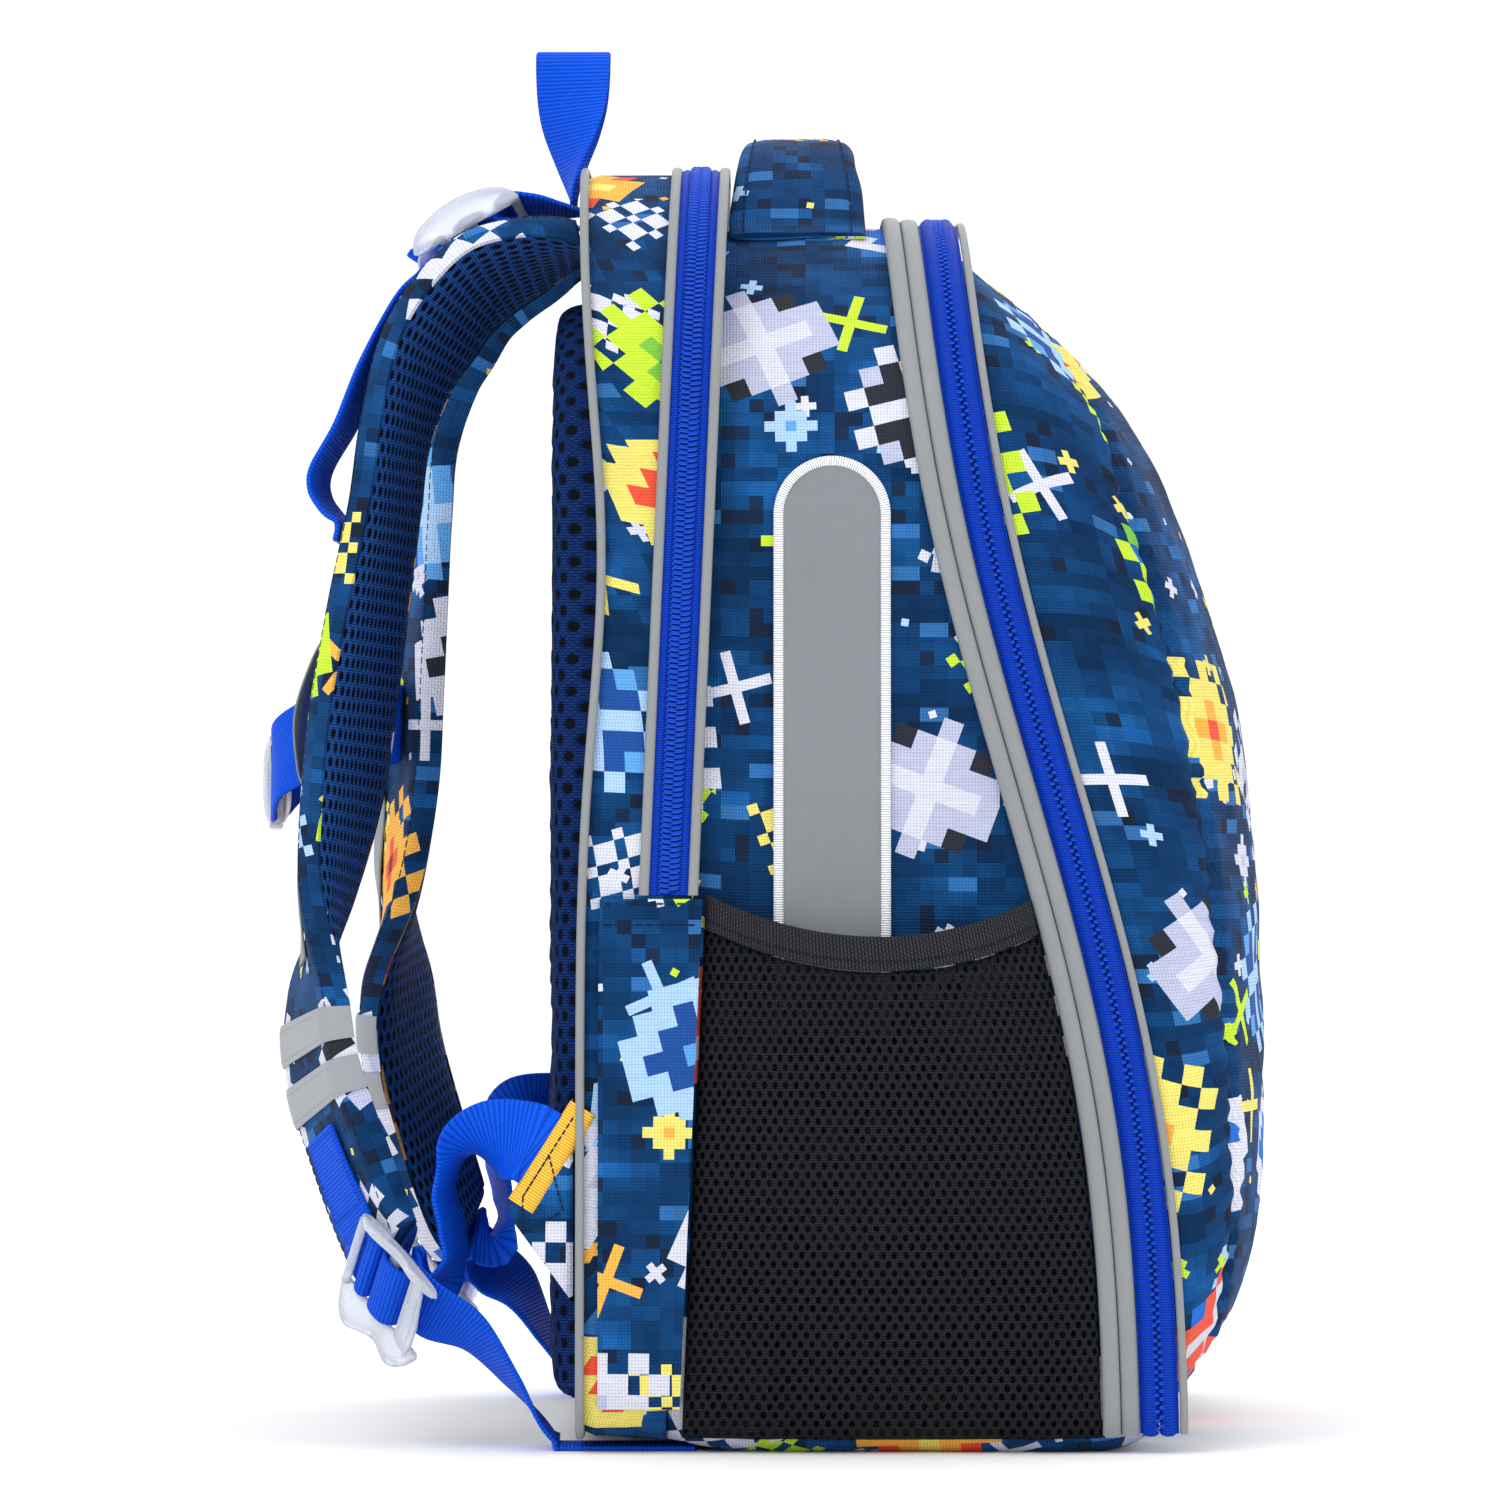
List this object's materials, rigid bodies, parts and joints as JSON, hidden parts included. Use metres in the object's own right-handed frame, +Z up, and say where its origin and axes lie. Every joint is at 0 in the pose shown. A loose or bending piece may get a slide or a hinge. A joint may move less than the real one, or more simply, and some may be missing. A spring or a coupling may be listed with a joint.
{
  "type": "school backpack",
  "caption": "Child's school backpack with a padded back, zipped compartments, mesh side pockets, reflective trim, a grab handle, a hang loop and padded shoulder straps with a chest strap.",
  "frame": {"origin": "middle of the flat underside of the main compartment, on the surface the bag stands on", "axes": "+Z up, -X towards the wearer's back and the shoulder straps, +X towards the bulging front, -Y the wearer's left"},
  "size_m": [0.3202, 0.3112, 0.4428],
  "materials": {
    "printed_fabric": "matt woven polyester with an all-over pixel mosaic print",
    "spacer_mesh": "matt knitted spacer mesh",
    "zip": "woven tape with a satin plastic coil",
    "webbing": "ribbed woven webbing",
    "reflective": "smooth grey retroreflective tape",
    "stitched_border": "satin stitch in white thread",
    "black_mesh": "open knitted mesh",
    "elastic": "ribbed elastic binding",
    "clear_plastic": "milky translucent moulded plastic",
    "slider": "gloss paint"
  },
  "bodies": {
    "root": {"rear_shell": "printed_fabric", "middle_shell": "printed_fabric", "front_shell": "printed_fabric", "back_pad": "spacer_mesh", "back_piping": "reflective", "rear_zip": "zip", "rear_zip_piping_back": "reflective", "rear_zip_piping_front": "reflective", "front_zip": "zip", "front_zip_piping_back": "reflective", "front_zip_piping_middle": "reflective", "front_zip_piping_front": "reflective", "rear_zip_slider": "slider", "front_zip_slider": "slider", "grab_handle": "printed_fabric", "hang_loop": "webbing", "side_panel_left": "printed_fabric", "side_panel_right": "printed_fabric", "side_reflector_left": "reflective", "side_reflector_right": "reflective", "reflector_border_left": "stitched_border", "reflector_border_right": "stitched_border", "pocket_mesh_left": "black_mesh", "pocket_mesh_right": "black_mesh", "pocket_binding_left": "elastic", "pocket_binding_right": "elastic", "strap_pad_left": "spacer_mesh", "strap_pad_right": "spacer_mesh", "strap_face_left": "printed_fabric", "strap_face_right": "printed_fabric", "strap_bar_upper_left": "reflective", "strap_bar_upper_right": "reflective", "strap_bar_lower_left": "reflective", "strap_bar_lower_right": "reflective", "runner_left": "reflective", "runner_right": "reflective", "strap_end_webbing_left": "webbing", "strap_end_webbing_right": "webbing", "ladder_lock_left": "clear_plastic", "ladder_lock_right": "clear_plastic", "adjuster_webbing_left": "webbing", "adjuster_webbing_right": "webbing", "tail_webbing_left": "webbing", "tail_webbing_right": "webbing", "wing_tab_left": "printed_fabric", "wing_tab_right": "printed_fabric", "lifter_webbing_left": "webbing", "lifter_webbing_right": "webbing", "lifter_lock_left": "clear_plastic", "lifter_lock_right": "clear_plastic", "lifter_tail_left": "webbing", "lifter_tail_right": "webbing", "chest_webbing_left": "webbing", "chest_webbing_right": "webbing", "chest_buckle": "clear_plastic"}
  },
  "joints": []
}
